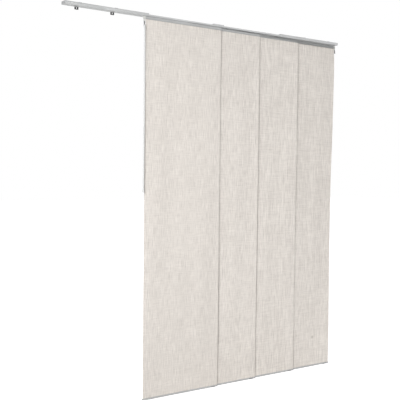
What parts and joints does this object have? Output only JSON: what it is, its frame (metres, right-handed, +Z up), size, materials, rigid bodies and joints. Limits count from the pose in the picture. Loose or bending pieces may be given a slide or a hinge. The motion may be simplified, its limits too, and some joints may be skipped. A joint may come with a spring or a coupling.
{
  "type": "panel track blind",
  "caption": "Sliding panel track blind: overlapping cloth panels on a telescoping multi-lane aluminium track, with a pull wand and slotted wall brackets.",
  "frame": {"origin": "middle of the two screw slots of the right inner wall bracket, on the wall plane", "axes": "+X along the track to the right as seen from the room, +Y into the wall, +Z up"},
  "size_m": [2.1925, 0.0663, 2.4428],
  "materials": {
    "anodised_track": "satin anodised",
    "anodised_carrier": "satin anodised",
    "grey_plastic": "fine matt",
    "bracket_paint": "dark grey powder coat",
    "plain_steel": "bright zinc",
    "white_nylon": "nylon",
    "hook_tape": "stiff hook tape",
    "loop_tape": "soft loop tape",
    "linen_cloth": "slubbed plain weave",
    "dark_plastic": "fine matt",
    "pale_plastic": "milky clear"
  },
  "bodies": {
    "fixed_track": {"sleeve_right": "anodised_track", "cap_right": "grey_plastic", "bracket_right_inner": "bracket_paint", "bracket_right_outer": "bracket_paint", "clips_right": "plain_steel", "rivets_right": "plain_steel"},
    "center_track": {"rail_1": "anodised_track", "rail_2": "anodised_track", "rail_3": "anodised_track", "rail_4": "anodised_track", "joiner": "anodised_track", "joiner_screws": "plain_steel"},
    "left_track": {"sleeve_left": "anodised_track", "cap_left": "grey_plastic", "bracket_left_outer": "bracket_paint", "bracket_left_inner": "bracket_paint", "clips_left": "plain_steel", "rivets_left": "plain_steel"},
    "panel_1": {"carrier_1": "anodised_carrier", "carrier_caps_1": "grey_plastic", "gliders_1": "white_nylon", "hook_tape_1": "hook_tape", "loop_tape_1": "loop_tape", "fabric_1": "linen_cloth", "bottom_rail_1": "anodised_carrier", "bottom_caps_1": "dark_plastic", "wand_holder": "white_nylon"},
    "panel_2": {"carrier_2": "anodised_carrier", "carrier_caps_2": "grey_plastic", "gliders_2": "white_nylon", "hook_tape_2": "hook_tape", "loop_tape_2": "loop_tape", "fabric_2": "linen_cloth", "bottom_rail_2": "anodised_carrier", "bottom_caps_2": "dark_plastic"},
    "panel_3": {"carrier_3": "anodised_carrier", "carrier_caps_3": "grey_plastic", "gliders_3": "white_nylon", "hook_tape_3": "hook_tape", "loop_tape_3": "loop_tape", "fabric_3": "linen_cloth", "bottom_rail_3": "anodised_carrier", "bottom_caps_3": "dark_plastic"},
    "panel_4": {"carrier_4": "anodised_carrier", "carrier_caps_4": "grey_plastic", "gliders_4": "white_nylon", "hook_tape_4": "hook_tape", "loop_tape_4": "loop_tape", "fabric_4": "linen_cloth", "bottom_rail_4": "anodised_carrier", "bottom_caps_4": "dark_plastic", "spare_holder": "white_nylon"},
    "wand_link": {"wand_link": "dark_plastic"},
    "wand": {"wand_cap": "pale_plastic", "wand_pin": "plain_steel", "wand_rod": "pale_plastic", "wand_tip": "pale_plastic"},
    "spare_link": {"spare_link": "dark_plastic"}
  },
  "joints": [
    {"name": "center_slide", "type": "slide", "parent": "fixed_track", "child": "center_track", "axis": [1, 0, 0], "range_m": [0, 0.475]},
    {"name": "left_slide", "type": "slide", "parent": "center_track", "child": "left_track", "axis": [1, 0, 0], "range_m": [0, 0.475]},
    {"name": "panel_1_slide", "type": "slide", "parent": "fixed_track", "child": "panel_1", "axis": [1, 0, 0], "range_m": [-0.53114, 1.06387]},
    {"name": "panel_2_slide", "type": "slide", "parent": "fixed_track", "child": "panel_2", "axis": [1, 0, 0], "range_m": [-0.86704, 0.72796]},
    {"name": "panel_3_slide", "type": "slide", "parent": "fixed_track", "child": "panel_3", "axis": [1, 0, 0], "range_m": [-1.23198, 0.36302]},
    {"name": "panel_4_slide", "type": "slide", "parent": "fixed_track", "child": "panel_4", "axis": [1, 0, 0], "range_m": [-1.595, 0]},
    {"name": "wand_side_swing", "type": "hinge", "parent": "panel_1", "child": "wand_link", "pos_m": [-1.32536, -0.05435, -0.035], "axis": [0, 1, 0], "range_deg": [-40, 40]},
    {"name": "wand_front_swing", "type": "hinge", "parent": "wand_link", "child": "wand", "pos_m": [-1.32536, -0.05575, -0.056], "axis": [-1, 0, 0], "range_deg": [0, 60]},
    {"name": "spare_link_swing", "type": "hinge", "parent": "panel_4", "child": "spare_link", "pos_m": [0.3365, -0.01985, -0.035], "axis": [0, 1, 0], "range_deg": [-40, 40]}
  ]
}
